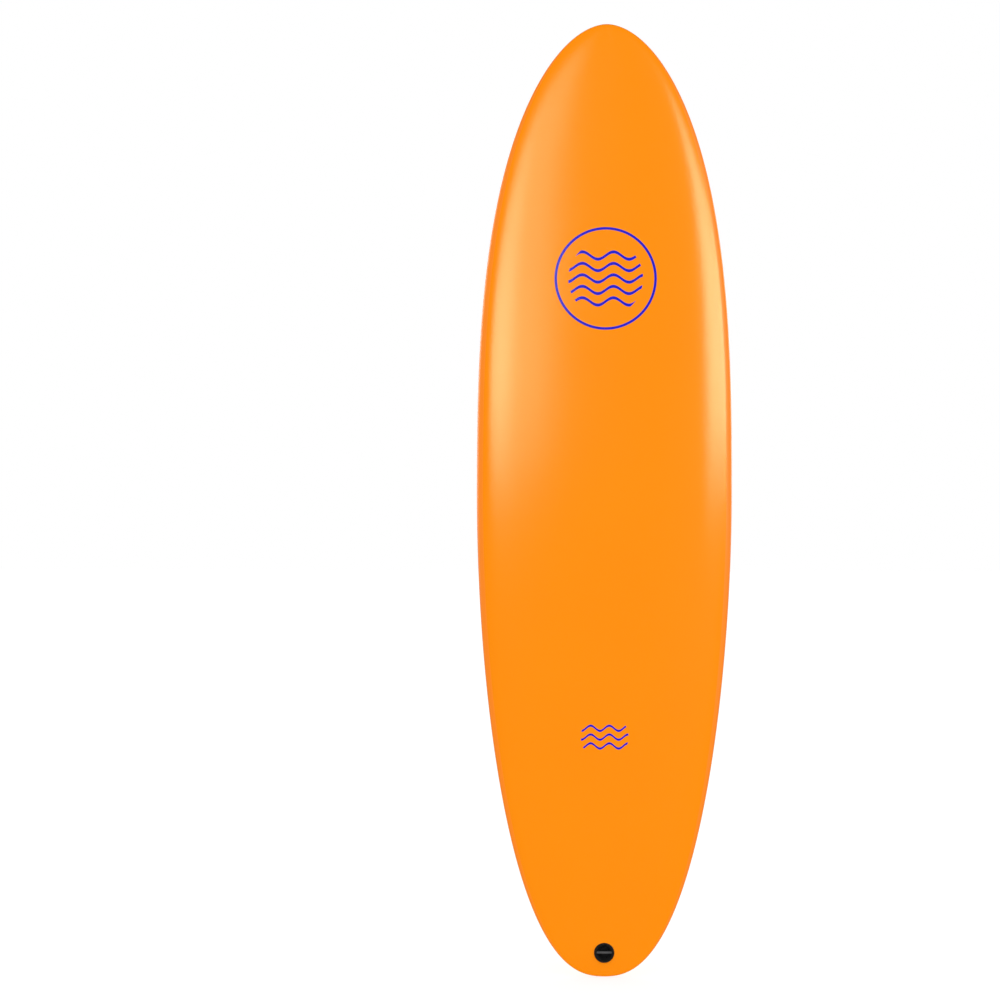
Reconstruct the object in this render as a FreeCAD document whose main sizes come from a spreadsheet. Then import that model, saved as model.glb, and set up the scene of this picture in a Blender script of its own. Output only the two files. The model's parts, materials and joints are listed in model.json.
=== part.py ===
import FreeCAD, Part
import math
import os
import re
import Sketcher

# A six-foot soft-top surfboard, standing on its tail: +Z runs from tail to nose, +Y points out of the
# slick bottom, and the deck faces -Y. The origin lies on the bottom, on the centreline at mid-length.

SIZES = {
    # board
    "board_length": 1829,
    "board_width": 496,
    "board_thickness": 70,
    "wide_point_ahead": 16,        # the widest and thickest place, ahead of mid-length
    "nose_rocker": 110,            # how far the bottom lifts at the nose tip
    "tail_rocker": 45,
    "nose_tip_thickness": 18,
    "tail_tip_thickness": 16,
    "tip_roundness": 10,           # how far the tips are rolled back at deck and bottom
    "rail_roll": 26,               # how far in the rail starts to round under
    # outline, rocker and section curves: exponents, so without a unit
    "nose_outline_power": 2.82,
    "nose_outline_fullness": 0.541,
    "tail_outline_power": 1.87,
    "tail_outline_fullness": 0.415,
    "nose_rocker_power": 2.8,
    "tail_rocker_power": 2.3,
    "foil_power": 2.2,
    "foil_fullness": 0.85,
    "deck_crown_power": 3.2,
    "deck_crown_fullness": 0.455,
    "rail_apex_level": 0.42,       # height of the rail's outermost line, over the thickness there
    "rail_tuck_level": 1.3,        # depth of the rail's lower round, over that height
    # skins
    "deck_foam_thickness": 5,
    "slick_thickness": 1.5,
    "backing_thickness": 3,
    "slick_inset": 13,
    # stringers
    "stringer_thickness": 4,
    "stringer_offset": 60,
    # fin boxes
    "side_box_from_tail": 316,
    "side_box_share": 0.272,       # how far out a side box lies, over the board's width
    "side_box_toe": 1,             # front end outwards
    "centre_box_from_tail": 142,
    "slot_length": 70,
    "slot_width": 6,
    "slot_depth": 16,
    "housing_end_wall": 6,
    "housing_side_wall": 8,
    "housing_floor": 3,
    "flange_side_lap": 8,          # how far the flange reaches past the housing
    "flange_end_lap": 18.5,        # and past the bolts' centres
    "flange_end_radius": 15,
    "flange_thickness": 3.5,
    "flange_proud": 1.5,
    "flange_edge_radius": 1,
    # the bolts that hold a fin box, and the plate that they pull on
    "bolt_from_housing": 7.5,
    "bolt_head_diameter": 13,
    "bolt_head_height": 2.2,
    "bolt_recess": 0.3,
    "bolt_shank_diameter": 6,
    "bolt_tip_short": 2,           # how far a bolt stops short of the housing's depth
    "bolt_slot_width": 1.6,
    "bolt_slot_depth": 1.2,
    "anchor_end_lap": 13.5,        # how far the plate reaches past the bolts' centres
    "anchor_side_lap": 4,
    "anchor_thickness": 5,
    "boss_diameter": 12,
    # the grub screws that clamp a fin
    "grub_diameter": 5,
    "grub_length": 6,
    "grub_recess": 0.8,
    "grub_point_diameter": 2.4,
    "grub_point_length": 2,
    "grub_socket": 2.5,
    "grub_socket_depth": 2.5,
    "grub_slant": 15,
    "grub_from_slot": 3.2,         # from the slot's edge, at the flange's face
    "grub_ahead": 24,              # from the middle of the slot
    "grub_travel": 2.6,
    # leash plug
    "leash_from_tail": 48,
    "rim_width": 4,
    "rim_thickness": 2.4,
    "rim_proud": 0.8,
    "cup_mouth_diameter": 31,
    "cup_floor_diameter": 18,
    "cup_depth": 10.5,
    "cup_wall": 2.2,
    "cup_floor_thickness": 2,
    "bar_diameter": 5,
    "bar_below_deck": 3.6,
    "sleeve_diameter": 16,
    "cap_diameter": 37,
    "cap_thickness": 3.2,
    "cap_proud": 1.2,
    "cap_stem_diameter": 9,
    "cap_stem_short": 1.5,         # how far the stem stops short of the cup's floor
    "coin_slot_length": 24,
    "coin_slot_width": 3,
    "coin_slot_depth": 1.6,
    # fits
    "foam_gap": 0.15,              # round a moulding let into foam
    "running_gap": 0.05,           # round a screw that turns
    "thread_gap": 0.05,            # round a bolt in its thread, which is not modelled
    "edge_break": 0.5,
}

# Sizes that follow from those above. One may use the ones before it.
FOLLOWING = {
    "side_box_offset": "board_width * side_box_share",
    "housing_length": "slot_length + 2 * housing_end_wall",
    "housing_width": "slot_width + 2 * housing_side_wall",
    "housing_depth": "slot_depth + housing_floor",
    "bolt_spacing": "housing_length + 2 * bolt_from_housing",
    "bolt_length": "housing_depth - bolt_tip_short",
    "flange_length": "bolt_spacing + 2 * flange_end_lap",
    "flange_width": "housing_width + 2 * flange_side_lap",
    "anchor_length": "bolt_spacing + 2 * anchor_end_lap",
    "anchor_width": "housing_width + 2 * anchor_side_lap",
    "grub_offset": "slot_width / 2 + grub_from_slot",
    "rim_diameter": "cup_mouth_diameter + 2 * rim_width",
}

STATIONS = 32                      # sections from tip to tip
DECK_STEPS = 16                    # points of a section from the centreline to the rail
TUCK_STEPS = 8                     # and from the rail round under
KEEL_STEPS = 4                     # and back to the centreline
MARGIN = 30                        # how far a cutting tool reaches past what it cuts

doc = FreeCAD.newDocument("surfboard")
sheet = doc.addObject("Spreadsheet::Sheet", "Sizes")
for row, (alias, number) in enumerate(SIZES.items(), start=1):
    sheet.set(f"A{row}", alias)
    sheet.set(f"B{row}", str(number))
    sheet.setAlias(f"B{row}", alias)
doc.recompute()


def spelled_out(expression):
    """The same expression with only the sheet's own aliases in it."""
    for name, meaning in reversed(FOLLOWING.items()):
        expression = re.sub(rf"\b{name}\b", f"({meaning})", expression)
    return expression


def value(expression):
    """The number that an expression has now."""
    result = sheet.evalExpression(spelled_out(expression))
    return float(getattr(result, "Value", result))


def size(name):
    return float(sheet.get(name)) if name in SIZES else value(name)


def bound(expression):
    """The same expression, as another object has to write it."""
    aliases = "|".join(SIZES)
    return re.sub(rf"\b({aliases})\b", r"Sizes.\1", spelled_out(expression))


# ---- the board's own curves --------------------------------------------------------------------

def reach(toward_nose, inset=0):
    """Distance from the widest place to a tip, with the outline brought in by inset."""
    half = size("board_length") / 2 - inset
    ahead = size("wide_point_ahead")
    return half - ahead if toward_nose else half + ahead


def half_width(z, inset=0):
    """Half the board's width at height z, with the outline brought in by inset."""
    from_wide = z - size("wide_point_ahead")
    end = "nose" if from_wide > 0 else "tail"
    share = min(1, abs(from_wide) / reach(from_wide > 0, inset))
    fall = 1 - share ** size(end + "_outline_power")
    return (size("board_width") / 2 - inset) * fall ** size(end + "_outline_fullness")


def thickness(z):
    from_wide = z - size("wide_point_ahead")
    tip = size("nose_tip_thickness" if from_wide > 0 else "tail_tip_thickness")
    share = min(1, abs(from_wide) / reach(from_wide > 0))
    swell = (1 - share ** size("foil_power")) ** size("foil_fullness")
    return tip + (size("board_thickness") - tip) * swell


def bottom_y(z):
    """The bottom's rocker curve, flat at mid-length and lifting towards the deck at both ends."""
    end = "nose" if z > 0 else "tail"
    share = abs(z) / (size("board_length") / 2)
    return -size(end + "_rocker") * share ** size(end + "_rocker_power")


def deck_y(z):
    """The deck on the centreline."""
    return bottom_y(z) - thickness(z)


def slope(curve, z):
    step = 0.5
    return (curve(z + step) - curve(z - step)) / (2 * step)


def section(z, side_inset, deck_inset):
    """One half section at z, from the deck's centreline to the rail and back under, as (x, height,
    roll): roll is 0 on the rail's outermost line and 1 on the flats above and below it."""
    width = half_width(z, side_inset)
    full = thickness(z)
    apex = size("rail_apex_level") * full
    points = []
    for step in range(DECK_STEPS):
        across = math.sin(math.radians(90 * step / DECK_STEPS))
        rise = (1 - across ** size("deck_crown_power")) ** size("deck_crown_fullness")
        points.append((width * across, apex + rise * (full - deck_inset - apex), rise))
    roll = size("rail_roll")
    inward = roll * width / (width + roll)
    tuck = size("rail_tuck_level") * apex
    for step in range(TUCK_STEPS + 1):
        angle = math.radians(90 * step / TUCK_STEPS)
        x = width - inward * (1 - math.cos(angle))
        points.append((x, apex - tuck * math.sin(angle), math.sin(angle)))
    for step in range(1, KEEL_STEPS + 1):
        points.append(((width - inward) * (1 - step / KEEL_STEPS), apex - tuck, 1))
    return points


def net_face(rows):
    """A cubic B-spline face whose control net is a grid of points, so it has no ripples."""
    knots = [list(range(len(line) - 2)) for line in (rows, rows[0])]
    repeats = [[4] + [1] * (len(line) - 2) + [4] for line in knots]
    surface = Part.BSplineSurface()
    surface.buildFromPolesMultsKnots(rows, *repeats, *knots, False, False, 3, 3)
    return surface.toShape()


def blank(side_inset, deck_inset):
    """A closed board shape that runs on below the bottom, where it is cut off."""
    rows = []
    for station in range(STATIONS + 1):
        along = math.sin(math.radians(180 * station / STATIONS - 90))
        z = size("wide_point_ahead") + along * reach(along > 0, side_inset)
        rolled = math.copysign(size("tip_roundness") * abs(along) ** 8, along)
        row = []
        for x, height, roll in section(z, side_inset, deck_inset):
            level = z - rolled * (1 - math.sqrt(max(0, 1 - roll * roll)))
            row.append(FreeCAD.Vector(x, bottom_y(level) - height, level))
        rows.append(row)
    mirrored = [[FreeCAD.Vector(-point.x, point.y, point.z) for point in row] for row in rows]
    shell = Part.Shell([net_face(rows), net_face(mirrored)])
    shell.sewShape()
    solid = Part.Solid(shell)
    if solid.Volume < 0:
        solid.reverse()
    return solid


def rocker_band(outer, inner):
    """The space between two copies of the rocker curve, outer and inner mm inside the bottom."""
    half = size("board_length") / 2 + MARGIN
    levels = [half * (2 * step / STATIONS - 1) for step in range(STATIONS + 1)]
    edges = []
    for inside in (outer, inner):
        curve = Part.BSplineCurve()
        curve.interpolate([FreeCAD.Vector(-size("board_width"), bottom_y(z) - inside, z) for z in levels])
        edges.append(curve.toShape())
    for end in (0, 1):
        edges.append(Part.makeLine(*[edge.Vertexes[end].Point for edge in edges[:2]]))
    wire = Part.Wire([edges[0], edges[3], edges[1], edges[2]])
    return Part.Face(wire).extrude(FreeCAD.Vector(2 * size("board_width"), 0, 0))


def outline_prism(inset):
    """The board's outline brought in by inset, from well above the deck to well below the bottom."""
    points = []
    for side in (1, -1):
        for station in range(STATIONS):
            along = side * math.sin(math.radians(180 * station / STATIONS - 90))
            z = size("wide_point_ahead") + along * reach(along > 0, inset)
            points.append(FreeCAD.Vector(side * half_width(z, inset), MARGIN, z))
    curve = Part.BSplineCurve()
    curve.interpolate(points, PeriodicFlag=True)
    depth = size("nose_rocker") + size("board_thickness") + 2 * MARGIN
    return Part.Face(Part.Wire(curve.toShape())).extrude(FreeCAD.Vector(0, -depth, 0))


# ---- helpers that make objects of the document -------------------------------------------------

def feature(name, shape):
    made = doc.addObject("Part::Feature", name)
    made.Shape = shape
    return made


def boolean(kind, base, tool, name):
    made = doc.addObject("Part::" + kind, name)
    made.Base = base
    made.Tool = tool
    return made


def cut_by(base, tools, name):
    """Cuts base by each tool in turn; the last cut takes the name."""
    for count, tool in enumerate(tools, start=1):
        base = boolean("Cut", base, tool, name if count == len(tools) else f"{name}_cut_{count}")
    return base


def new_body(name, placement=None):
    body = doc.addObject("PartDesign::Body", name)
    body.Label = name
    if placement:
        body.Placement = placement
    return body


def new_sketch(body, name, plane="XY_Plane", lift=None):
    sketch = body.newObject("Sketcher::SketchObject", f"{body.Name}_{name}")
    origin_plane = [item for item in body.Origin.OriginFeatures if item.Role == plane]
    sketch.AttachmentSupport = [(origin_plane[0], "")]
    sketch.MapMode = "FlatFace"
    if lift:
        sketch.setExpression("AttachmentOffset.Base.z", bound(lift))
    return sketch


def drive(sketch, kind, *where, by):
    """Adds a dimension to a sketch, at its present value, and binds it to an expression."""
    index = sketch.addConstraint(Sketcher.Constraint(kind, *where, value(by)))
    sketch.setExpression(f"Constraints[{index}]", bound(by))


def place_point(sketch, geometry, point, across, along):
    """Holds a sketch point at two expressions, where None means on the axis."""
    if across is None:
        sketch.addConstraint(Sketcher.Constraint("PointOnObject", geometry, point, -2))
    else:
        drive(sketch, "DistanceX", -1, 1, geometry, point, by=across)
    if along is None:
        sketch.addConstraint(Sketcher.Constraint("PointOnObject", geometry, point, -1))
    else:
        drive(sketch, "DistanceY", -1, 1, geometry, point, by=along)


def at(across, along):
    return FreeCAD.Vector(value(across) if across else 0, value(along) if along else 0, 0)


def draw_circle(sketch, diameter, across=None, along=None):
    circle = Part.Circle(at(across, along), FreeCAD.Vector(0, 0, 1), value(f"({diameter}) / 2"))
    index = sketch.addGeometry(circle)
    place_point(sketch, index, 3, across, along)
    drive(sketch, "Diameter", index, by=diameter)


def draw_polygon(sketch, corners):
    """A closed chain of lines through corners, each a pair of expressions."""
    places = [at(*corner) for corner in corners]
    first = sketch.GeometryCount
    for start, end in zip(places, places[1:] + places[:1]):
        sketch.addGeometry(Part.LineSegment(start, end))
    for index in range(len(corners)):
        after = first + (index + 1) % len(corners)
        sketch.addConstraint(Sketcher.Constraint("Coincident", first + index, 2, after, 1))
    for index, corner in enumerate(corners):
        place_point(sketch, first + index, 1, *corner)


def draw_arc(sketch, centre, radius, start, end):
    circle = Part.Circle(centre, FreeCAD.Vector(0, 0, 1), radius)
    return sketch.addGeometry(Part.ArcOfCircle(circle, start, end))


def draw_stadium(sketch, length, width):
    """Two half circles joined by straight sides, lengthwise along the sketch's Y."""
    radius = value(f"({width}) / 2")
    centre = f"({length} - ({width})) / 2"
    middle = value(centre)
    head = draw_arc(sketch, FreeCAD.Vector(0, middle, 0), radius, 0, math.pi)
    foot = draw_arc(sketch, FreeCAD.Vector(0, -middle, 0), radius, math.pi, 2 * math.pi)
    ends = [FreeCAD.Vector(radius, -middle, 0), FreeCAD.Vector(radius, middle, 0)]
    right = sketch.addGeometry(Part.LineSegment(*ends))
    left = sketch.addGeometry(Part.LineSegment(*[-end for end in ends]))
    for joint in ((head, 1, right, 2), (head, 2, left, 1), (foot, 1, left, 2), (foot, 2, right, 1)):
        sketch.addConstraint(Sketcher.Constraint("Tangent", *joint))
    for arc in (head, foot):
        sketch.addConstraint(Sketcher.Constraint("PointOnObject", arc, 3, -2))
    sketch.addConstraint(Sketcher.Constraint("Vertical", right))
    drive(sketch, "DistanceY", -1, 1, head, 3, by=centre)
    drive(sketch, "DistanceY", foot, 3, -1, 1, by=centre)
    drive(sketch, "Diameter", head, by=width)


def draw_oval(sketch, gap="0"):
    """The fin box's outline, four tangent arcs with gently bulging sides, grown by gap."""
    half = "flange_width / 2"
    centre = "(flange_length / 2 - flange_end_radius)"
    bulge = f"(({half}) ^ 2 + {centre} ^ 2 - flange_end_radius ^ 2)"
    side = f"({bulge} / (flange_width - 2 * flange_end_radius))"
    back = f"({side} - {half})"
    turn = math.atan2(value(centre), value(back))
    end_radius = value(f"flange_end_radius + {gap}")
    side_radius = value(f"{side} + {gap}")
    right = draw_arc(sketch, FreeCAD.Vector(-value(back), 0, 0), side_radius, -turn, turn)
    head = draw_arc(sketch, FreeCAD.Vector(0, value(centre), 0), end_radius, turn, math.pi - turn)
    left = draw_arc(sketch, FreeCAD.Vector(value(back), 0, 0), side_radius, math.pi - turn, math.pi + turn)
    foot = draw_arc(sketch, FreeCAD.Vector(0, -value(centre), 0), end_radius, math.pi + turn, -turn)
    for first, second in ((right, head), (head, left), (left, foot)):
        sketch.addConstraint(Sketcher.Constraint("Tangent", first, 2, second, 1))
    sketch.addConstraint(Sketcher.Constraint("Coincident", foot, 2, right, 1))
    for arc, axis in ((right, -1), (left, -1), (head, -2)):
        sketch.addConstraint(Sketcher.Constraint("PointOnObject", arc, 3, axis))
    sketch.addConstraint(Sketcher.Constraint("Equal", right, left))
    sketch.addConstraint(Sketcher.Constraint("Equal", head, foot))
    drive(sketch, "DistanceY", -1, 1, head, 3, by=centre)
    drive(sketch, "DistanceX", right, 3, -1, 1, by=back)
    drive(sketch, "Radius", right, by=f"{side} + {gap}")


def pad_down(body, sketch, depth, up=None):
    """A pad from the sketch towards local -Z by depth, and by up the other way."""
    pad = body.newObject("PartDesign::Pad", sketch.Name + "_pad")
    pad.Profile = sketch
    pad.Reversed = True
    pad.setExpression("Length", bound(depth))
    if up:
        pad.SideType = "Two sides"
        pad.setExpression("Length2", bound(up))
    return pad


def pocket(body, sketch, depth):
    """A pocket from the sketch towards local -Z, which must take something away."""
    doc.recompute()
    before = body.Shape.Volume
    made = body.newObject("PartDesign::Pocket", sketch.Name + "_pocket")
    made.Profile = sketch
    made.setExpression("Length", bound(depth))
    doc.recompute()
    if body.Shape.Volume > before - 0.01:
        made.Reversed = True
        doc.recompute()
    if body.Shape.Volume > before - 0.01:
        raise RuntimeError(made.Name + " cuts nothing")
    return made


def turned(name, corners, placement):
    """A body turned about its own Z from a profile of (radius, height) expressions."""
    body = new_body(name, placement)
    sketch = new_sketch(body, "profile", "XZ_Plane")
    draw_polygon(sketch, corners)
    spin = body.newObject("PartDesign::Revolution", name + "_turned")
    spin.Profile = sketch
    spin.ReferenceAxis = (sketch, ["V_Axis"])
    spin.Angle = 360
    return body


def place(origin, z_axis, y_hint):
    """A placement whose local Z is z_axis and whose local Y is as near y_hint as it can be."""
    x_axis = y_hint.cross(z_axis).normalize()
    return FreeCAD.Placement(origin, FreeCAD.Rotation(x_axis, z_axis.cross(x_axis), z_axis, "ZXY"))


def moved(x=0, y=0, z=0, turn=0, about=(0, 0, 1)):
    return FreeCAD.Placement(FreeCAD.Vector(x, y, z), FreeCAD.Rotation(FreeCAD.Vector(*about), turn))


# ---- the foam, the stringers and the skins -----------------------------------------------------

def build_hull(bottom_tools, plug_tool):
    """Every piece that has the board's own curves, cut for the fin boxes and the leash plug."""
    foam = size("deck_foam_thickness")
    stack = size("slick_thickness") + size("backing_thickness")
    outer_blank = feature("outer_blank", blank(0, 0))
    core_blank = feature("core_blank", blank(foam, foam))
    deep = size("nose_rocker") + size("board_thickness")
    outer = boolean("Cut", outer_blank, feature("below_bottom", rocker_band(-deep, 0)), "outer")
    core = boolean("Cut", core_blank, feature("below_core", rocker_band(-deep, stack)), "core")

    slick_outline = feature("slick_outline", outline_prism(size("slick_inset")))
    recess_band = feature("recess_band", rocker_band(-MARGIN, stack))
    recess = boolean("Common", slick_outline, recess_band, "recess")
    cut_by(outer, [core, recess, plug_tool], "deck_skin")
    slick = size("slick_thickness")
    levels = {"slick_sheet": (0, slick), "slick_backing": (slick, stack)}
    for name, (top, under) in levels.items():
        band = feature(name + "_band", rocker_band(top, under))
        sheet_blank = boolean("Common", slick_outline, band, name + "_blank")
        cut_by(sheet_blank, [*bottom_tools.values(), plug_tool], name)

    inner_face = "(stringer_offset - stringer_thickness / 2)"
    outer_face = "(stringer_offset + stringer_thickness / 2)"
    strips = {
        "core_right": ("-board_width", f"board_width - {outer_face}"),
        "stringer_right": (f"-{outer_face}", "stringer_thickness"),
        "core_centre": (f"-{inner_face}", f"2 * {inner_face}"),
        "stringer_left": (inner_face, "stringer_thickness"),
        "core_left": (outer_face, f"board_width - {outer_face}"),
    }
    tools = {
        "core_left": [bottom_tools["left"]],
        "core_centre": [bottom_tools["centre"], plug_tool],
        "core_right": [bottom_tools["right"]],
    }
    for name, (start, width) in strips.items():
        slab = doc.addObject("Part::Box", name + "_slab")
        slab.setExpression("Placement.Base.x", bound(start))
        slab.setExpression("Placement.Base.y", bound("-2 * (nose_rocker + board_thickness)"))
        slab.setExpression("Placement.Base.z", bound("-board_length"))
        slab.setExpression("Length", bound(width))
        slab.setExpression("Width", bound("4 * (nose_rocker + board_thickness)"))
        slab.setExpression("Height", bound("2 * board_length"))
        strip = boolean("Common", core, slab, name if name not in tools else name + "_blank")
        if name in tools:
            cut_by(strip, tools[name], name)


# ---- fin boxes ---------------------------------------------------------------------------------

SIDES = {"left": 1, "right": -1, "centre": 0}      # seen on the bottom with the nose up, left is at +X
BOLT_TURNS = {"left": (40, 55), "right": (-40, 10), "centre": (75, 92)}


def fin_place(side):
    """A fin box's frame: on the flange's face, local Z out of the bottom, local Y towards the nose."""
    from_tail = size("side_box_from_tail" if SIDES[side] else "centre_box_from_tail")
    z = from_tail - size("board_length") / 2
    out = FreeCAD.Vector(0, 1, -slope(bottom_y, z)).normalize()
    origin = FreeCAD.Vector(SIDES[side] * size("side_box_offset"), bottom_y(z), z)
    toe = moved(turn=SIDES[side] * size("side_box_toe"))
    return place(origin + out * size("flange_proud"), out, FreeCAD.Vector(0, 0, 1)) * toe


def grub_place(side, end):
    """A grub screw's frame: its head's centre, local Z out of its hole, which leans towards the slot."""
    hand = 1 if end == "front" else -1
    slant = hand * size("grub_slant")
    at_face = moved(hand * size("grub_offset"), hand * size("grub_ahead"), 0, slant, (0, 1, 0))
    return fin_place(side) * at_face * moved(z=-size("grub_recess"))


def build_fin_box(side):
    body = new_body(f"fin_box_{side}_body", fin_place(side))
    plate = new_sketch(body, "plate")
    draw_oval(plate)
    pad_down(body, plate, "flange_thickness")
    housing = new_sketch(body, "housing")
    draw_stadium(housing, "housing_length", "housing_width")
    pad_down(body, housing, "housing_depth")
    slot = new_sketch(body, "slot")
    draw_stadium(slot, "slot_length", "slot_width")
    pocket(body, slot, "slot_depth")
    holes = (
        ("seats", "bolt_head_diameter + 2 * foam_gap", "bolt_recess + bolt_head_height"),
        ("holes", "bolt_shank_diameter + 4 * foam_gap", "flange_thickness"),
    )
    for name, diameter, depth in holes:
        pair = new_sketch(body, name)
        for end in ("bolt_spacing / 2", "-bolt_spacing / 2"):
            draw_circle(pair, diameter, None, end)
        pocket(body, pair, depth)
    plain = body.Tip
    rim = []
    half = size("flange_length") / 2 - size("flange_end_radius")
    for number, edge in enumerate(plain.Shape.Edges, start=1):
        middle = edge.valueAt((edge.FirstParameter + edge.LastParameter) / 2)
        on_rim = abs(middle.x) > size("housing_width") / 2 or abs(middle.y) > half + 1
        if on_rim and abs(middle.z) < 1e-6 and edge.Length > math.pi * size("bolt_head_diameter") / 2:
            rim.append(f"Edge{number}")
    rounding = body.newObject("PartDesign::Fillet", body.Name + "_rounding")
    rounding.Base = (plain, rim)
    rounding.setExpression("Radius", bound("flange_edge_radius"))
    doc.recompute()

    bores = []
    for end in ("front", "rear"):
        bore = doc.addObject("Part::Cylinder", f"grub_bore_{side}_{end}")
        bore.setExpression("Radius", bound("grub_diameter / 2 + running_gap"))
        bore.setExpression("Height", bound("2 * grub_recess + grub_length + grub_travel + slot_width"))
        into = size("grub_length") + size("grub_travel")
        bore.Placement = grub_place(side, end) * moved(z=-into)
        bores.append(bore)
    cut_by(body, bores, f"fin_box_{side}")


def build_grub(side, end):
    corners = [
        (None, None),
        ("grub_diameter / 2 - edge_break", None),
        ("grub_diameter / 2", "-edge_break"),
        ("grub_diameter / 2", "-(grub_length - grub_point_length)"),
        ("grub_point_diameter / 2", "-grub_length"),
        (None, "-grub_length"),
    ]
    body = turned(f"grub_{side}_{end}", corners, grub_place(side, end))
    socket = new_sketch(body, "socket")
    across = [(1, 0), (0.5, 0.5), (-0.5, 0.5), (-1, 0), (-0.5, -0.5), (0.5, -0.5)]
    hexagon = []
    for flat, rise in across:
        up = f"grub_socket * {rise}" if rise else None
        hexagon.append((f"grub_socket / sqrt(3) * {flat}", up))
    draw_polygon(socket, hexagon)
    pocket(body, socket, "grub_socket_depth")


def build_bolts(side):
    """A fin box's two slotted bolts, each turned to where it happened to tighten."""
    corners = [
        (None, None),
        ("bolt_head_diameter / 2 - edge_break", None),
        ("bolt_head_diameter / 2", "-edge_break"),
        ("bolt_head_diameter / 2", "-bolt_head_height"),
        ("bolt_shank_diameter / 2", "-bolt_head_height"),
        ("bolt_shank_diameter / 2", "-bolt_length"),
        (None, "-bolt_length"),
    ]
    pair = []
    for hand, turn in zip((1, -1), BOLT_TURNS[side]):
        spot = moved(0, hand * size("bolt_spacing") / 2, -size("bolt_recess"), turn)
        bolt = turned(f"bolt_{side}_{len(pair) + 1}", corners, fin_place(side) * spot)
        groove = new_sketch(bolt, "groove")
        draw_polygon(groove, [
            ("-bolt_head_diameter", "-bolt_slot_width / 2"),
            ("bolt_head_diameter", "-bolt_slot_width / 2"),
            ("bolt_head_diameter", "bolt_slot_width / 2"),
            ("-bolt_head_diameter", "bolt_slot_width / 2"),
        ])
        pocket(bolt, groove, "bolt_slot_depth")
        pair.append(bolt)
    group = doc.addObject("Part::Compound", f"fin_bolts_{side}")
    group.Links = pair


def add_anchor_pads(body, gap):
    """The threaded plate under a fin box and its two bosses, grown by gap sideways."""
    plate = new_sketch(body, "plate_under", lift="-housing_depth")
    draw_stadium(plate, f"anchor_length + 2 * {gap}", f"anchor_width + 2 * {gap}")
    pad_down(body, plate, "anchor_thickness")
    bosses = new_sketch(body, "bosses", lift="-flange_thickness")
    for end in ("bolt_spacing / 2", "-bolt_spacing / 2"):
        draw_circle(bosses, f"boss_diameter + 2 * {gap}", None, end)
    pad_down(body, bosses, "housing_depth - flange_thickness")


def build_anchor(side):
    body = new_body(f"fin_anchor_{side}", fin_place(side))
    add_anchor_pads(body, "0")
    threads = new_sketch(body, "threads", lift="-flange_thickness")
    for end in ("bolt_spacing / 2", "-bolt_spacing / 2"):
        draw_circle(threads, "bolt_shank_diameter + 2 * thread_gap", None, end)
    pocket(body, threads, "bolt_length")


def build_fin_pocket(side):
    """The hole in the slick, its backing and the core that a fin box and its anchor plate fill."""
    body = new_body(f"fin_pocket_{side}", fin_place(side))
    plate = new_sketch(body, "plate")
    draw_oval(plate, "foam_gap")
    pad_down(body, plate, "flange_thickness", up="board_thickness / 2")
    housing = new_sketch(body, "housing")
    draw_stadium(housing, "housing_length + 2 * foam_gap", "housing_width + 2 * foam_gap")
    pad_down(body, housing, "housing_depth")
    add_anchor_pads(body, "foam_gap")
    return body


# ---- leash plug --------------------------------------------------------------------------------

def leash_place():
    """The plug's frame: on the deck, local Z out of it, square to the mean of deck and bottom."""
    z = size("leash_from_tail") - size("board_length") / 2
    lean = (slope(deck_y, z) + slope(bottom_y, z)) / 2
    out = FreeCAD.Vector(0, -1, lean).normalize()
    return place(FreeCAD.Vector(0, deck_y(z), z), out, FreeCAD.Vector(0, 0, 1))


def plug_depth():
    """How far the bottom lies below the deck along the plug's axis."""
    frame = leash_place()
    down = frame.Rotation.multVec(FreeCAD.Vector(0, 0, -1))
    depth = thickness(frame.Base.z)
    for _ in range(20):
        point = frame.Base + down * depth
        depth += bottom_y(point.z) - point.y
    return depth


def cap_place():
    """The bottom cap's frame: on its outer face, local Z out of the bottom."""
    return leash_place() * moved(z=-plug_depth() - size("cap_proud"), turn=180, about=(1, 0, 0))


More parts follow.
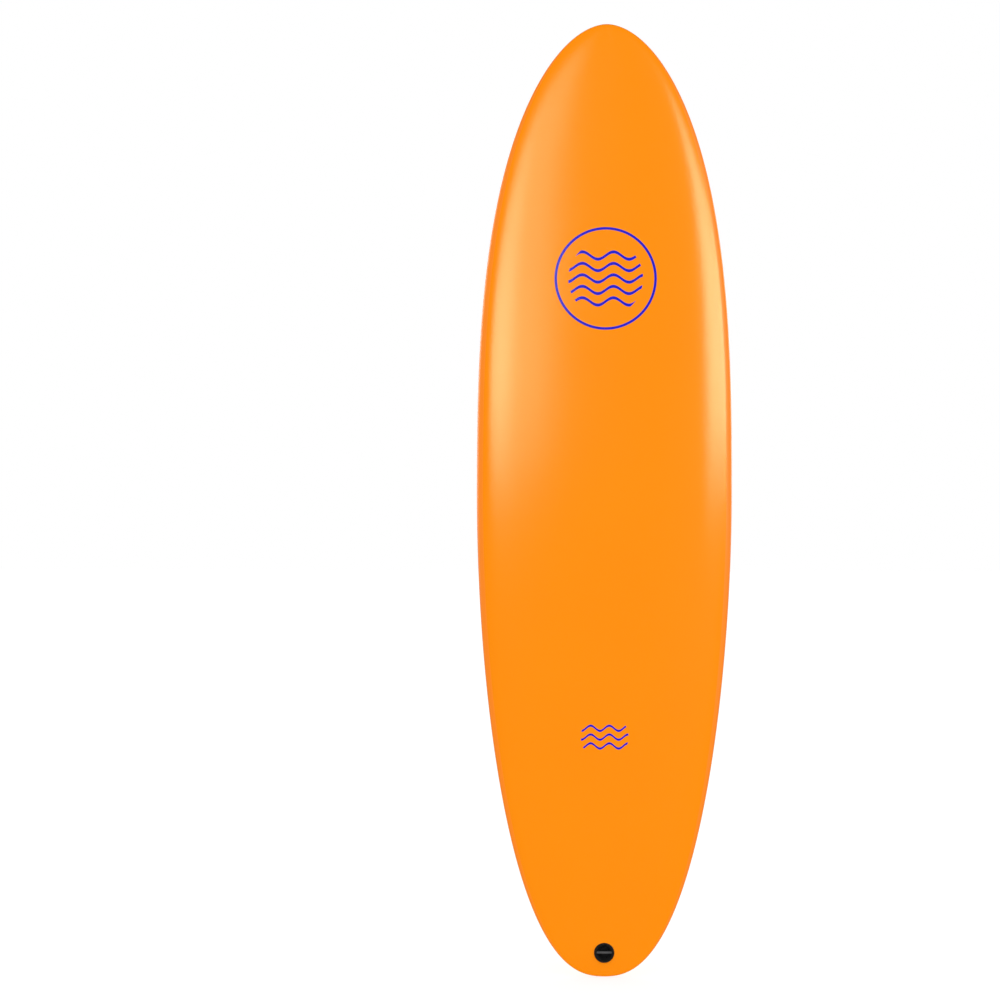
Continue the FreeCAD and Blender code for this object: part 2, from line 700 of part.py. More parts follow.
def build_leash_plug():
    inside = plug_depth() + size("cap_proud") - size("cap_thickness")
    under = "rim_proud - rim_thickness"
    floor = "-(cup_depth + cup_floor_thickness)"
    stem_length = f"({inside} - cup_depth - cup_floor_thickness - cap_stem_short)"
    body_radius = "(cup_mouth_diameter / 2 + cup_wall)"
    cup = turned("leash_cup_body", [
        (None, "-cup_depth"),
        ("cup_floor_diameter / 2", "-cup_depth"),
        ("cup_mouth_diameter / 2 - edge_break", "-edge_break"),
        ("cup_mouth_diameter / 2", "rim_proud"),
        ("rim_diameter / 2 - 2 * edge_break", "rim_proud"),
        ("rim_diameter / 2", "rim_proud - 2 * edge_break"),
        ("rim_diameter / 2", under),
        (body_radius, under),
        (body_radius, floor),
        ("sleeve_diameter / 2", floor),
        ("sleeve_diameter / 2", f"-{inside}"),
        ("cap_stem_diameter / 2 + thread_gap", f"-{inside}"),
        ("cap_stem_diameter / 2 + thread_gap", floor),
        (None, floor),
    ], leash_place())

    def crossbar(name):
        bar = doc.addObject("Part::Cylinder", name)
        bar.setExpression("Radius", bound("bar_diameter / 2"))
        bar.setExpression("Height", bound("cup_mouth_diameter + cup_wall"))
        half = (size("cup_mouth_diameter") + size("cup_wall")) / 2
        bar.Placement = leash_place() * moved(-half, 0, -size("bar_below_deck"), 90, (0, 1, 0))
        return bar

    crossbar("leash_bar")
    cut_by(cup, [crossbar("bar_hole")], "leash_cup")

    cap = turned("leash_cap", [
        (None, None),
        ("cap_diameter / 2 - 2 * edge_break", None),
        ("cap_diameter / 2", "-2 * edge_break"),
        ("cap_diameter / 2", "-cap_thickness"),
        ("cap_stem_diameter / 2", "-cap_thickness"),
        ("cap_stem_diameter / 2", f"-(cap_thickness + {stem_length})"),
        (None, f"-(cap_thickness + {stem_length})"),
    ], cap_place())
    coin = new_sketch(cap, "coin_slot")
    draw_stadium(coin, "coin_slot_length", "coin_slot_width")
    pocket(cap, coin, "coin_slot_depth")

    return turned("plug_hole", [
        (None, "board_thickness / 2"),
        ("rim_diameter / 2 + foam_gap", "board_thickness / 2"),
        ("rim_diameter / 2 + foam_gap", under),
        (f"{body_radius} + foam_gap", under),
        (f"{body_radius} + foam_gap", floor),
        ("sleeve_diameter / 2 + foam_gap", floor),
        ("sleeve_diameter / 2 + foam_gap", f"-{inside}"),
        ("cap_diameter / 2 + foam_gap", f"-{inside}"),
        ("cap_diameter / 2 + foam_gap", f"-{inside} - board_thickness / 2"),
        (None, f"-{inside} - board_thickness / 2"),
    ], leash_place())


# ---- build, check and write --------------------------------------------------------------------

pockets = {side: build_fin_pocket(side) for side in SIDES}
for side in SIDES:
    build_fin_box(side)
    build_bolts(side)
    build_anchor(side)
    for end in ("front", "rear"):
        build_grub(side, end)
build_hull(pockets, build_leash_plug())
doc.recompute()

NODES = ["deck_skin", "slick_sheet", "slick_backing", "stringer_left", "stringer_right"]
NODES += ["core_left", "core_centre", "core_right", "leash_cup", "leash_bar", "leash_cap"]
for side in SIDES:
    NODES += [f"fin_box_{side}", f"fin_bolts_{side}", f"fin_anchor_{side}"]
    NODES += [f"grub_{side}_{end}" for end in ("front", "rear")]

for item in doc.Objects:
    if "Invalid" in item.State or "Error" in item.State:
        raise RuntimeError(f"{item.Name} failed: {item.State}")
for name in NODES:
    shape = doc.getObject(name).Shape
    if shape.isNull() or not shape.isValid() or shape.Volume <= 0:
        raise RuntimeError(name + " has no valid shape")
    expected = 2 if name.startswith("fin_bolts") else 1
    if len(shape.Solids) != expected:
        raise RuntimeError(f"{name} has {len(shape.Solids)} solids")

os.makedirs("parts", exist_ok=True)
for name in NODES:
    doc.getObject(name).Label = name
    doc.getObject(name).Shape.exportStep(f"parts/{name}.step")
    print(f"{name}: {doc.getObject(name).Shape.Volume / 1000:.2f} cm3")
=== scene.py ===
# %% [markdown]
# # A six-foot soft-top surfboard
# The board stands on its tail with the nose up. +Z runs from tail to nose, +Y points out of the slick
# bottom and the foam deck faces -Y. The hard fittings come from the CAD frame as they are. The two
# big soft surfaces, the foam deck and the slick bottom sheet, are drawn again here as fine, even
# meshes, because a glossy highlight shows every facet of a coarse one.

# %% Load the frame
import bpy
import json
import math
import numpy as np
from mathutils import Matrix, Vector


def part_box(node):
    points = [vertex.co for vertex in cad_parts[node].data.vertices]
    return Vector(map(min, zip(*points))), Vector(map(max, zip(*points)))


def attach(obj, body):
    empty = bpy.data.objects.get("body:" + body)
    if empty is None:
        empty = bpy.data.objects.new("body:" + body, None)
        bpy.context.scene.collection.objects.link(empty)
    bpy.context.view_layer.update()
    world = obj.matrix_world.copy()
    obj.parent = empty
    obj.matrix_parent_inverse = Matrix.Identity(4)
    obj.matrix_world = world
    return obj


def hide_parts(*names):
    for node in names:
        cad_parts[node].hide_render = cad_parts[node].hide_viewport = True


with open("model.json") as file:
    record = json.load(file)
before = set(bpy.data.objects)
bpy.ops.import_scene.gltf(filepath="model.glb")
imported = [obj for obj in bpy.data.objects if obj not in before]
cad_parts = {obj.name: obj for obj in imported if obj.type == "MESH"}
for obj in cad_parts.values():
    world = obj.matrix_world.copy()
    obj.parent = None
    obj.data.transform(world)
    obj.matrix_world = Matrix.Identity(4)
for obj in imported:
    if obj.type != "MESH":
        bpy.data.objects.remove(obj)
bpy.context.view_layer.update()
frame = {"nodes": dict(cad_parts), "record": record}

MM = 0.001
nodes = frame["nodes"]
mounts = {mount["name"]: mount for mount in frame["record"]["mounts"]}

# %% [markdown]
# ## The board's own curves
# A shaper draws a board with four curves: the outline seen from above, the rocker seen from the side,
# the foil (how thick it is from tail to nose) and the rail's section. Each is a short formula with a
# few numbers for its fullness, so the surface has no ripples. The overall sizes are read from the
# CAD frame.

# %% The outline, the rocker, the foil
low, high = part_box("deck_skin")
HALF_LENGTH = high.z
HALF_WIDTH = high.x
WIDE_AHEAD = 16 * MM
THICKNESS = 70 * MM
FOAM = 5 * MM
ENDS = {
    "nose": dict(rocker=110 * MM, lift=2.8, tip=18 * MM, power=2.82, fullness=0.541),
    "tail": dict(rocker=45 * MM, lift=2.3, tip=16 * MM, power=1.87, fullness=0.415),
}
FOIL_POWER, FOIL_FULLNESS = 2.2, 0.85
CROWN_POWER, CROWN_FULLNESS = 3.2, 0.455
APEX_LEVEL, TUCK_LEVEL = 0.42, 1.3
RAIL_ROLL = 26 * MM
TIP_ROUNDNESS = 10 * MM
SLICK_INSET = 13 * MM


def reach(ahead, inset=0.0):
    """Distance from the widest place to the nose or tail tip."""
    return np.where(ahead > 0, HALF_LENGTH - inset - WIDE_AHEAD, HALF_LENGTH - inset + WIDE_AHEAD)


def pick(ahead, key):
    return np.where(ahead > 0, ENDS["nose"][key], ENDS["tail"][key])


def half_width(z, inset=0.0):
    ahead = z - WIDE_AHEAD
    share = np.minimum(1, np.abs(ahead) / reach(ahead, inset))
    fall = np.maximum(0, 1 - share ** pick(ahead, "power"))
    return (HALF_WIDTH - inset) * fall ** pick(ahead, "fullness")


def thickness(z):
    ahead = z - WIDE_AHEAD
    share = np.minimum(1, np.abs(ahead) / reach(ahead))
    tip = pick(ahead, "tip")
    return tip + (THICKNESS - tip) * (1 - share ** FOIL_POWER) ** FOIL_FULLNESS


def bottom_y(z):
    return -pick(z, "rocker") * (np.abs(z) / HALF_LENGTH) ** pick(z, "lift")


print("width 300 mm from the tail:", round(float(2 * half_width(np.array(0.3 - HALF_LENGTH))), 4))

# %% [markdown]
# ## Small helpers
# `pick_only` makes one object the active and only selected one, which every operator below needs.
# `edit` runs operators in edit mode on a whole piece, and `modify` adds a modifier and applies it at
# once, so that each step works on the mesh that the step before it left.

# %% Selecting and applying
def pick_only(piece):
    bpy.ops.object.select_all(action="DESELECT")
    piece.select_set(True)
    bpy.context.view_layer.objects.active = piece


def edit(piece, *steps):
    """Runs operators in edit mode on all of a piece."""
    pick_only(piece)
    bpy.ops.object.mode_set(mode="EDIT")
    bpy.ops.mesh.select_all(action="SELECT")
    for operator, settings in steps:
        operator(**settings)
    bpy.ops.object.mode_set(mode="OBJECT")


def modify(piece, kind, **settings):
    """Adds one modifier and applies it at once."""
    pick_only(piece)
    modifier = piece.modifiers.new(kind.title(), kind)
    for key, setting in settings.items():
        setattr(modifier, key, setting)
    bpy.ops.object.modifier_apply(modifier=modifier.name)


def count(piece):
    print(piece.name, len(piece.data.polygons), "faces")


# %% [markdown]
# ## Carrying a grid onto the board
# Both skins start as a flat grid. Its rows are stations from tail to nose, closer together at the
# tips, and its columns run from one edge of the skin to the other, closer together where the section
# turns. Each vertex is carried to its place on the board by the curves above. At the two tips a whole
# row folds onto the centreline, and merging the doubles there closes the skin round the tip.

# %% From a flat grid to a skin
ROWS = 96


def stations(inset=0.0):
    """Heights from tail to nose along an outline brought in by inset."""
    along = np.sin(np.linspace(-math.pi / 2, math.pi / 2, ROWS + 1))
    return along, WIDE_AHEAD + along * reach(along, inset)


def skin_from(name, columns):
    """columns: a list of (x, y, z) arrays over the stations, from one edge of the skin to the other."""
    bpy.ops.object.select_all(action="DESELECT")
    bpy.ops.mesh.primitive_grid_add(x_subdivisions=len(columns) - 1, y_subdivisions=ROWS, size=2)
    piece = bpy.context.object
    piece.name = name
    flat = np.empty(len(piece.data.vertices) * 3)
    piece.data.vertices.foreach_get("co", flat)
    flat = flat.reshape(-1, 3)
    column = np.rint((flat[:, 0] + 1) / 2 * (len(columns) - 1)).astype(int)
    row = np.rint((flat[:, 1] + 1) / 2 * ROWS).astype(int)
    net = np.stack([np.stack(np.broadcast_arrays(*line), axis=-1) for line in columns])
    piece.data.vertices.foreach_set("co", net[column, row].ravel())
    piece.data.update()
    edit(
        piece,
        (bpy.ops.mesh.remove_doubles, dict(threshold=0.02 * MM)),
        (bpy.ops.mesh.normals_make_consistent, dict(inside=False)),
    )
    return piece


def mirror_columns(half):
    """The same columns on the other side, then the half itself, sharing the middle one."""
    return [(-x, y, z) for x, y, z in reversed(half[1:])] + half


# %% [markdown]
# ## The foam deck
# On the real board a 5 mm sheet of closed-cell foam is heat-bonded to the deck, pulled down round the
# rails and trimmed where the slick bottom starts. It could be cut from a solid, but a sheet that
# follows the section with real thickness is closer to how it's made, so the outer face is drawn and
# Solidify gives it its thickness inwards. A last subdivision rounds the fold where rail meets bottom.

# %% Draw the outer face of the foam
TUCK_START = math.asin(1 / TUCK_LEVEL)


def deck_columns():
    along, z = stations()
    width = half_width(z)
    full = thickness(z)
    apex = APEX_LEVEL * full
    rolled = TIP_ROUNDNESS * np.sign(along) * np.abs(along) ** 8

    def level(roll):
        return z - rolled * (1 - math.sqrt(max(0.0, 1 - roll * roll)))

    columns = []
    for across in np.sin(np.radians(np.linspace(0, 90, 25)[:-1])):
        rise = (1 - across ** CROWN_POWER) ** CROWN_FULLNESS
        height = apex + rise * (full - apex)
        columns.append((width * across, bottom_y(level(rise)) - height, level(rise)))
    inward = RAIL_ROLL * width / (width + RAIL_ROLL)
    for angle in np.linspace(0, TUCK_START, 9):
        height = apex * (1 - TUCK_LEVEL * math.sin(angle))
        place = level(math.sin(angle))
        columns.append((width - inward * (1 - math.cos(angle)), bottom_y(place) - height, place))
    _, seam_z = stations(SLICK_INSET)
    seam_x = half_width(seam_z, SLICK_INSET)
    fold_x, _, fold_z = columns[-1]
    for share, sunk in ((0.25, 0), (0.7, 0), (0.92, 0.15 * MM), (1, 0.7 * MM)):
        place = fold_z + share * (seam_z - fold_z)
        columns.append((fold_x + share * (seam_x - fold_x), bottom_y(place) - sunk, place))
    return mirror_columns(columns)


deck = skin_from("deck_foam_skin", deck_columns())
modify(deck, "SOLIDIFY", thickness=FOAM, offset=-1, use_even_offset=True)
modify(deck, "SUBSURF", levels=1, render_levels=1)
edit(deck, (bpy.ops.mesh.normals_make_consistent, dict(inside=False)))
count(deck)

# %% [markdown]
# ## The slick bottom sheet
# A thin, glossy plastic sheet laid into the foam, flat from rail to rail and bent along the rocker.
# It is drawn as a flat grid as well, given its thickness, and then its edge is bevelled a little,
# which is what makes the fine dark line of the seam.

# %% Draw the outer face of the slick sheet
SLICK = 1.5 * MM
SEAM_GAP = 0.3 * MM


def slick_columns():
    _, z = stations(SLICK_INSET + SEAM_GAP)
    edge = half_width(z, SLICK_INSET + SEAM_GAP)
    shares = np.append(np.linspace(0, 0.9, 10), (0.96, 0.985, 1))
    return mirror_columns([(share * edge, bottom_y(z), z) for share in shares])


slick = skin_from("slick_bottom_sheet", slick_columns())
modify(slick, "SOLIDIFY", thickness=SLICK, offset=-1)
modify(slick, "BEVEL", width=0.6 * MM, segments=3, limit_method="ANGLE", angle_limit=math.radians(50))
edit(slick, (bpy.ops.mesh.normals_make_consistent, dict(inside=False)))
count(slick)

# %% [markdown]
# ## Holes for the fittings
# The leash cup goes through the deck, and the fin boxes and the leash cap through the slick. Each
# hole is cut with a Boolean, a little smaller than the fitting's rim, which then covers its edge.

# %% Cut the holes
def cutter(centre, axis, radius, stretch=1.0, depth=24 * MM):
    """A round or oval cutter, along axis, its long way up the board."""
    bpy.ops.object.select_all(action="DESELECT")
    bpy.ops.mesh.primitive_cylinder_add(vertices=96, radius=1, depth=1)
    tool = bpy.context.object
    z_axis = Vector(axis).normalized()
    x_axis = Vector((0, 0, 1)).cross(z_axis).normalized()
    y_axis = z_axis.cross(x_axis)
    for vertex in tool.data.vertices:
        x, y, z = vertex.co
        sideways = x_axis * x * radius + y_axis * y * radius * stretch
        vertex.co = Vector(centre) + sideways + z_axis * z * depth
    return tool


def cut(piece, tool):
    modify(piece, "BOOLEAN", operation="DIFFERENCE", object=tool, solver="EXACT")
    bpy.data.objects.remove(tool)


def middle(node):
    first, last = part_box(node)
    return (first + last) / 2


def half_breadth(node):
    first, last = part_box(node)
    return (last.x - first.x) / 2


RIM_LAP = 1.5 * MM
CUP_CUT_DEPTH = 60 * MM
BOX_HOLE_HALF_WIDTH, BOX_HOLE_HALF_LENGTH = 15 * MM, 62 * MM

leash_axis = (middle("leash_cup") - middle("leash_cap")).normalized()
cup_hole = half_breadth("leash_cup") - RIM_LAP
cap_hole = half_breadth("leash_cap") - RIM_LAP
cut(deck, cutter(middle("leash_cup"), leash_axis, cup_hole, depth=CUP_CUT_DEPTH))
cut(slick, cutter(middle("leash_cap"), leash_axis, cap_hole))
stretch = BOX_HOLE_HALF_LENGTH / BOX_HOLE_HALF_WIDTH
for side in ("left", "right", "centre"):
    mount = mounts[f"fin_slot_{side}"]
    cut(slick, cutter(mount["pos_m"], mount["axis"], BOX_HOLE_HALF_WIDTH, stretch))


def store_across(piece):
    """Keeps each vertex's place across the board, 0 on the centreline and 1 on the outline."""
    flat = np.empty(len(piece.data.vertices) * 3)
    piece.data.vertices.foreach_get("co", flat)
    x, _, z = flat.reshape(-1, 3).T
    share = np.abs(x) / np.maximum(half_width(z), 1 * MM)
    piece.data.attributes.new("across", "FLOAT", "POINT").data.foreach_set("value", share)


store_across(deck)
for piece in (deck, slick):
    pick_only(piece)
    bpy.ops.object.shade_smooth_by_angle(angle=math.radians(40))
    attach(piece, "board")
    count(piece)
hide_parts("deck_skin")
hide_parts("slick_sheet")

# %% [markdown]
# ## Writing a finish
# A finish is a node tree. `Finish.node` adds any node from its type, its settings and its inputs, and
# the small `Wire` class lets sockets be added, multiplied and compared as if they were numbers, so a
# pattern reads like its formula. Sizes inside a finish are in metres, as the board's are.

# %% Wires and finishes
class Wire:
    """A socket that can be used in a sum."""

    def __init__(self, finish, socket):
        self.finish = finish
        self.socket = socket

    def math(self, operation, *others):
        inputs = dict(enumerate((self, *others)))
        return self.finish.node("ShaderNodeMath", {"operation": operation}, inputs)

    def __add__(self, other):
        return self.math("ADD", other)

    def __mul__(self, other):
        return self.math("MULTIPLY", other)

    def __sub__(self, other):
        return self.math("SUBTRACT", other)

    def __rsub__(self, other):
        return (self * -1) + other

    def __abs__(self):
        return self.math("ABSOLUTE")

    def sin(self):
        return self.math("SINE")

    def either(self, other):
        return self.math("MAXIMUM", other)

    def both(self, other):
        return self.math("MINIMUM", other)

    def under(self, limit, soft):
        """1 where this is below limit, 0 above, with a soft edge."""
        settings = {"interpolation_type": "SMOOTHSTEP"}
        bounds = {"Value": self, "From Min": limit + soft, "From Max": limit - soft}
        return self.finish.node("ShaderNodeMapRange", settings, bounds)


class Finish:
    """A material with one Principled shader, and short ways to feed it."""

    def __init__(self, title, **constants):
        self.material = bpy.data.materials.new(title)
        self.material.use_nodes = True
        self.tree = self.material.node_tree
        self.shader = self.tree.nodes["Principled BSDF"]
        for key, setting in constants.items():
            self.shader.inputs[key.replace("_", " ")].default_value = setting
        self.place = self.node("ShaderNodeTexCoord", out="Object")
        parts = self.node("ShaderNodeSeparateXYZ", {}, {0: self.place}, out=None)
        self.x, self.y, self.z = (Wire(self, parts.outputs[axis]) for axis in "XYZ")

    def node(self, kind, settings={}, inputs={}, out=0):
        made = self.tree.nodes.new(kind)
        for key, setting in settings.items():
            setattr(made, key, setting)
        for key, source in inputs.items():
            if isinstance(source, Wire):
                self.tree.links.new(source.socket, made.inputs[key])
            else:
                made.inputs[key].default_value = source
        return made if out is None else Wire(self, made.outputs[out])

    def feed(self, socket, wire):
        self.tree.links.new(wire.socket, self.shader.inputs[socket])

    def stored(self, name):
        """A number kept on the mesh's vertices."""
        return self.node("ShaderNodeAttribute", {"attribute_name": name}, out="Fac")

    def noise(self, scale, detail=2.0, roughness=0.5, stretch=(1, 1, 1)):
        factors = {0: self.place, 1: stretch}
        place = self.node("ShaderNodeVectorMath", {"operation": "MULTIPLY"}, factors)
        inputs = {"Vector": place, "Scale": scale, "Detail": detail, "Roughness": roughness}
        return self.node("ShaderNodeTexNoise", {}, inputs)

    def cells(self, scale, feature="F1"):
        inputs = {"Vector": self.place, "Scale": scale}
        return self.node("ShaderNodeTexVoronoi", {"feature": feature}, inputs, out="Distance")

    def mix(self, share, first, second):
        """A blend of two colours."""
        made = self.node("ShaderNodeMix", {"data_type": "RGBA"}, {0: share}, out=None)
        for index, colour in ((6, first), (7, second)):
            if isinstance(colour, Wire):
                self.tree.links.new(colour.socket, made.inputs[index])
            else:
                made.inputs[index].default_value = (*colour, 1)
        return Wire(self, made.outputs[2])

    def bump(self, height, strength, distance):
        inputs = {"Height": height, "Strength": strength, "Distance": distance}
        return self.node("ShaderNodeBump", {}, inputs)


def paint(piece, finish):
    piece.data.materials.clear()
    piece.data.materials.append(finish.material)


# %% [markdown]
# ## The prints
# The deck and the bottom carry a plain blue print. It's ink on the surface and has no thickness, so
# it's drawn in the finish, from circles and wave lines in the board's own coordinates. That keeps
# its edges sharp at any distance and lets the foam's grain show through it.

# %% Shapes of the prints
INK = (0.006, 0.012, 0.55)
EDGE = 0.35 * MM
DECK_RING_Z = HALF_LENGTH - 482 * MM
DECK_MARK_Z = -HALF_LENGTH + 464 * MM
BOTTOM_RING_Z = HALF_LENGTH - 483 * MM
BOTTOM_MARK_Z = HALF_LENGTH - 1330 * MM
BOTTOM_DOT_Z = HALF_LENGTH - 1389 * MM


def from_point(finish, centre_z):
    """Distance from a point of the board's centreline."""
    z = finish.z - centre_z
    return ((finish.x * finish.x) + (z * z)).math("SQRT")


def ring(finish, centre_z, radius, line):
    return abs(from_point(finish, centre_z) - radius).under(line / 2, EDGE)


def waves(finish, centre_z, half_span, pitch, lines, swell, length, line):
    """A few wave lines, one above another, cut off outside a round field."""
    field = from_point(finish, centre_z).under(half_span, EDGE)
    up = finish.z - centre_z - ((finish.x * (2 * math.pi / length)).sin() * swell)
    drawn = None
    for index in range(lines):
        row = abs(up - (index - (lines - 1) / 2) * pitch).under(line / 2, EDGE)
        drawn = row if drawn is None else drawn.either(row)
    return drawn.both(field)


def dashes(finish, centre_z, radius, number, length, line):
    """A ring of short dashes."""
    z = finish.z - centre_z
    turn = finish.x.math("ARCTAN2", z) * (number / (2 * math.pi)) + 0.5 * number
    off = abs(turn.math("FRACT") - 0.5) * (2 * math.pi * radius / number)
    return off.under(length / 2, EDGE).both(ring(finish, centre_z, radius, line))


# %% [markdown]
# ## The foam's finish
# Embossed closed-cell foam: a saturated orange with a fine pebbled grain that only shows where light
# grazes it, and a soft broad sheen. The grain is a mix of two sizes of noise and small pits, driving
# a bump. Colour shifts a little from place to place. Round the rail the sheet was stretched when it
# was wrapped, so a plain band there is smoother and duller; its deeper orange is painted shade, where
# the rail turns away from the light.

# %% Orange foam
RAIL_BAND_FROM = 0.952
TURNED_FROM_DECK = 12 * MM


def foam_finish():
    foam = Finish("orange_foam", Specular_IOR_Level=0.45, Specular_Tint=(1, 0.9, 0.6, 1))
    # The rail band is smoother and duller foam, and also carries a painted shade (see below).
    rail_band_and_shade = 1 - foam.stored("across").under(RAIL_BAND_FROM, 0.008)
    patches = foam.noise(5, 3)
    orange = foam.mix(patches, (0.99, 0.262, 0.0), (0.99, 0.280, 0.0))
    orange = foam.mix(foam.noise(520, 2, 0.6), orange, foam.mix(0.10, orange, (0.80, 0.17, 0.0)))
    # Painted shade: the rail band gets a deeper orange where the rail turns away from the light.
    orange = foam.mix(rail_band_and_shade, orange, (0.98, 0.232, 0.0))
    pits = foam.cells(430)
    grain = foam.noise(700, 2, 0.6) * 0.8 + pits * 0.9 + foam.noise(210, 2) * 0.5
    grain = grain * (1 - rail_band_and_shade * 0.8)
    mark = ring(foam, DECK_RING_Z, 96 * MM, 5 * MM)
    mark = mark.either(waves(foam, DECK_RING_Z, 72 * MM, 22 * MM, 5, 7 * MM, 60 * MM, 6 * MM))
    mark = mark.either(waves(foam, DECK_MARK_Z, 46 * MM, 17 * MM, 3, 5 * MM, 36 * MM, 4.4 * MM))
    on_deck = (foam.y + TURNED_FROM_DECK).under(0.0, 1 * MM)
    foam.feed("Base Color", foam.mix(mark.both(on_deck), orange, INK))
    foam.feed("Normal", foam.bump(grain, 0.14, 0.4 * MM))
    foam.feed("Roughness", foam.noise(240, 2) * 0.06 + 0.15 + rail_band_and_shade * 0.25)
    return foam


paint(deck, foam_finish())

# %% [markdown]
# ## The slick's finish
# Glossy polyethylene sheet in a lime yellow, with the very faint waviness that a thin sheet has over
# foam, fine scuffs along the board, and the blue print. The waviness is a bump from two sizes of
# noise, and the scuffs only change how rough the sheet is.

# %% Lime slick
def slick_finish():
    sheet = Finish("lime_slick", Specular_IOR_Level=0.4, Specular_Tint=(1, 1, 0.6, 1))
    shift = sheet.noise(3, 2)
    lime = sheet.mix(shift, (0.69, 0.96, 0.0), (0.80, 0.98, 0.0))
    mask = ring(sheet, BOTTOM_RING_Z, 107.5 * MM, 4 * MM)
    mask = mask.either(ring(sheet, BOTTOM_RING_Z, 73 * MM, 4 * MM))
    mask = mask.either(dashes(sheet, BOTTOM_RING_Z, 90 * MM, 36, 9 * MM, 5 * MM))
    mask = mask.either(waves(sheet, BOTTOM_RING_Z, 58 * MM, 22 * MM, 3, 6 * MM, 52 * MM, 4 * MM))
    mask = mask.either(waves(sheet, BOTTOM_MARK_Z, 46 * MM, 16 * MM, 3, 5 * MM, 36 * MM, 3.2 * MM))
    mask = mask.either(ring(sheet, BOTTOM_DOT_Z, 14 * MM, 2.4 * MM))
    sheet.feed("Base Color", sheet.mix(mask, lime, INK))
    scuffs = sheet.noise(40, 4, 0.7, stretch=(1, 1, 0.15))
    sheet.feed("Roughness", scuffs * 0.12 + 0.14)
    waviness = sheet.noise(9, 2) * 0.8 + sheet.noise(60, 2) * 0.06
    sheet.feed("Normal", sheet.bump(waviness, 0.25, 3 * MM))
    return sheet


paint(slick, slick_finish())

# %% [markdown]
# ## The fittings' finishes
# The fin boxes, bolts and leash plug are black nylon mouldings: near black, with the fine grain that
# a spark-eroded mould leaves, and a tone and gloss that drift a little from place to place. The
# screws and the bar are dull steel. The studio's background leaves no reflections, and bare metal
# would look black in it, so the steel is shaded as half metal, half grey paint.

# %% Black mouldings and steel
def moulding_finish(name, shade, rough, grain_size):
    plastic = Finish(name, Specular_IOR_Level=0.5)
    tone = plastic.noise(60, 3)
    plastic.feed("Base Color", plastic.mix(tone, [shade * 0.7] * 3, [shade * 1.5] * 3))
    plastic.feed("Roughness", plastic.noise(120, 3) * 0.2 + (rough - 0.1))
    plastic.feed("Normal", plastic.bump(plastic.noise(grain_size, 2), 0.3, 0.15 * MM))
    return plastic


def steel_finish(name, tint):
    steel = Finish(name, Metallic=0.5)
    brushed = steel.noise(900, 3, 0.6, stretch=(1, 1, 0.05))
    steel.feed("Base Color", steel.mix(brushed, [tint * 0.85] * 3, [tint] * 3))
    steel.feed("Roughness", brushed * 0.25 + 0.18)
    steel.feed("Normal", steel.bump(brushed, 0.1, 0.05 * MM))
    return steel


def core_finish():
    """Expanded polystyrene: white beads pressed into cells."""
    beads = Finish("bead_foam", Roughness=0.7)
    edges = beads.cells(250, "DISTANCE_TO_EDGE").under(0.06, 0.04)
    beads.feed("Base Color", beads.mix(edges, (0.86, 0.86, 0.84), (0.68, 0.68, 0.66)))
    beads.feed("Normal", beads.bump(beads.cells(250), 0.4, 0.5 * MM))
    return beads


def backing_finish():
    foam = Finish("backing_foam", Roughness=0.65)
    foam.feed("Base Color", foam.mix(foam.noise(300, 2), (0.80, 0.42, 0.26), (0.90, 0.55, 0.38)))
    foam.feed("Normal", foam.bump(foam.noise(900, 2), 0.3, 0.3 * MM))
    return foam


def plywood_finish():
    """Thin plywood with its grain along the board."""
    wood = Finish("plywood", Roughness=0.55)
    grain = wood.noise(130, 4, 0.6, stretch=(1, 1, 0.04))
    wood.feed("Base Color", wood.mix(grain, (0.36, 0.20, 0.09), (0.66, 0.45, 0.25)))
    wood.feed("Normal", wood.bump(grain, 0.3, 0.3 * MM))
    return wood


finishes = {
    "black_moulding": moulding_finish("black_nylon", 0.012, 0.42, 1400),
    "black_bolt": moulding_finish("black_bolt_nylon", 0.016, 0.38, 1800),
    "leash_plastic": moulding_finish("black_gloss_nylon", 0.010, 0.30, 1600),
    "grub_steel": steel_finish("grub_steel", 0.6),
    "bar_steel": steel_finish("bar_steel", 0.16),
    "core_foam": core_finish(),
    "backing_foam": backing_finish(),
    "plywood": plywood_finish(),
}
for entry in frame["record"]["subparts"]:
    finish = finishes.get(entry["material_slot"])
    if finish:
        paint(nodes[entry["node"]], finish)
print("finishes", sorted(finishes))

# %% [markdown]
# ## Floor and background
# The board stands over a plain white floor that runs into a white background, which is also the even
# light on everything. Neither shows in reflections, so the colours stay saturated. Most of the floor's
# brightness is a glow of its own: lit only by the background, it would pick up the board's colours.

# %% Floor and background
bpy.ops.object.select_all(action="DESELECT")
bpy.ops.mesh.primitive_plane_add(size=60, location=(0, 0, low.z - 1 * MM))
floor = bpy.context.object
floor.name = "studio_floor"
floor.visible_glossy = False
white = Finish("studio_white", Roughness=0.9, Specular_IOR_Level=0.0)
white.feed("Base Color", white.mix(white.noise(2), (0.29, 0.29, 0.29), (0.31, 0.31, 0.31)))
white.shader.inputs["Emission Color"].default_value = (1, 1, 1, 1)
white.shader.inputs["Emission Strength"].default_value = 0.76
paint(floor, white)

scene = bpy.context.scene
scene.view_settings.view_transform = "Standard"
world = bpy.data.worlds.new("studio")
scene.world = world
world.use_nodes = True
background = world.node_tree.nodes["Background"]
background.inputs["Color"].default_value = (1, 1, 1, 1)
background.inputs["Strength"].default_value = 1.0
world.cycles_visibility.glossy = False


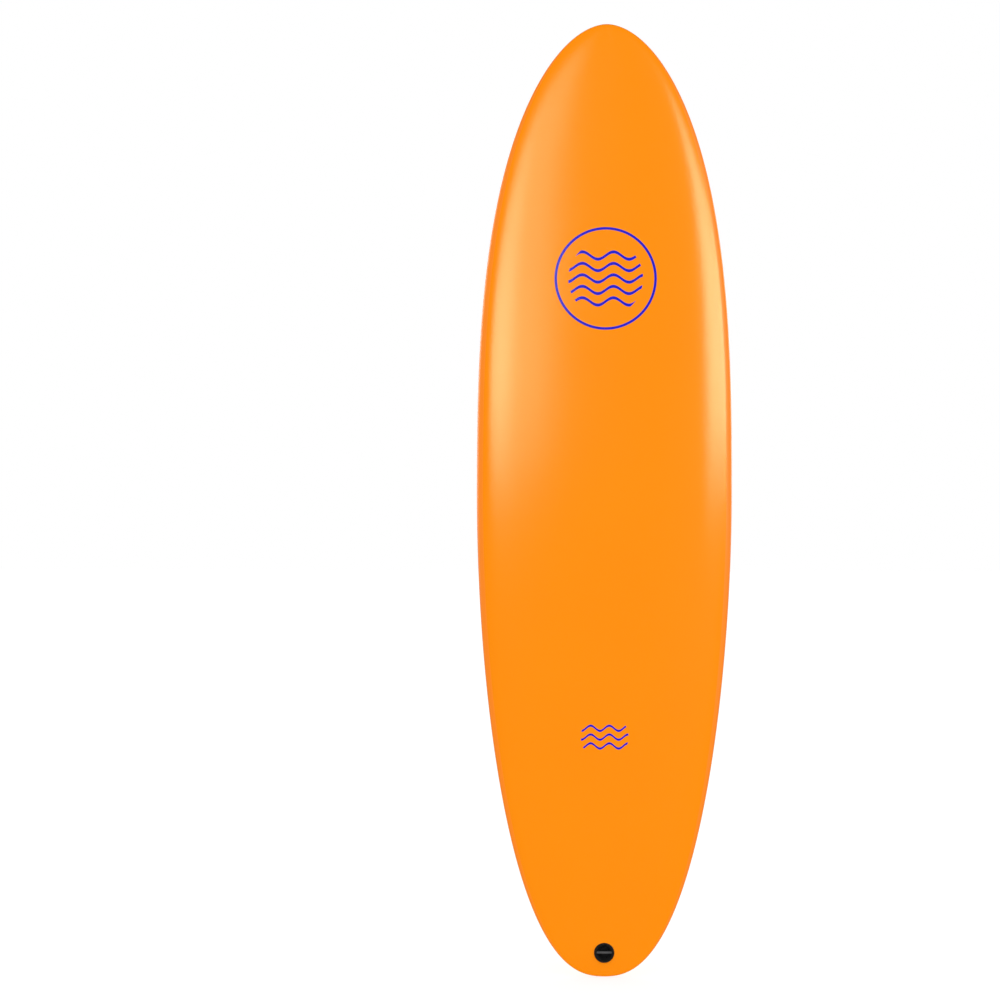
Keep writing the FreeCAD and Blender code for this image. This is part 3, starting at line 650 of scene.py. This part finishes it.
# %% [markdown]
# ## Soft boxes
# Upright soft boxes beside the board draw the sheen along its rails. They shine in reflections only,
# and their lower edges are at mid-height or a little above it, so that the sheen fades out near there.
# On the left a small box sits inside a wide one, which makes the sheen strongest in its middle. A weak
# fill light does the opposite: it brightens the deck from the right without being mirrored in it.

# %% Place the boxes
def soft_box(name, azimuth, spread, low_edge, height, shine, away=2.8, shape="RECTANGLE"):
    """An upright panel facing the board, shine times as bright as white. Its azimuth and spread are in
    degrees, seen from the board's middle, with 0 in front of the deck and positive to the right."""
    data = bpy.data.lights.new(name, "AREA")
    data.shape = shape
    data.size = 2 * away * math.tan(math.radians(spread / 2))
    data.size_y = height
    filled = math.pi / 4 if shape == "ELLIPSE" else 1
    data.energy = shine * math.pi * filled * data.size * height
    light = bpy.data.objects.new(name, data)
    scene.collection.objects.link(light)
    turn = math.radians(azimuth)
    toward = Vector((-math.sin(turn), math.cos(turn), 0))
    light.location = Vector((0, 0, low_edge + height / 2)) - toward * away
    light.rotation_euler = toward.to_track_quat("-Z", "Y").to_euler()
    light.visible_camera = False
    return light


sheen = [
    soft_box("left_wide_box", -25, 44, 0.10, 0.58, 5.2, shape="ELLIPSE"),
    soft_box("left_core_box", -31, 24, 0.17, 0.46, 6.0, shape="ELLIPSE"),
    soft_box("right_box", 52, 42, 0.14, 0.66, 11.5),
    soft_box("back_left_box", -130, 34, 0.0, 1.2, 5),
    soft_box("back_right_box", 140, 30, 0.0, 1.2, 5),
]
for box in sheen:
    box.visible_diffuse = False
fill = soft_box("front_fill", 30, 40, -0.8, 2.4, 0.6, away=4.0)
fill.visible_glossy = False

# %% [markdown]
# ## Camera
# A long lens from a little over five metres, at the board's mid-height, looking along +Y. It stands to
# the left of the board, which so comes out right of the middle of the render, and it is rolled by
# a tenth of a degree.

# %% Point the camera
camera_data = bpy.data.cameras.new("camera")
camera_data.lens = 97.5
camera = bpy.data.objects.new("camera", camera_data)
scene.collection.objects.link(camera)
camera.location = (-0.2025, -5.2856, 0.0059)
camera.rotation_euler = (math.radians(90), math.radians(-0.11), 0)
scene.camera = camera
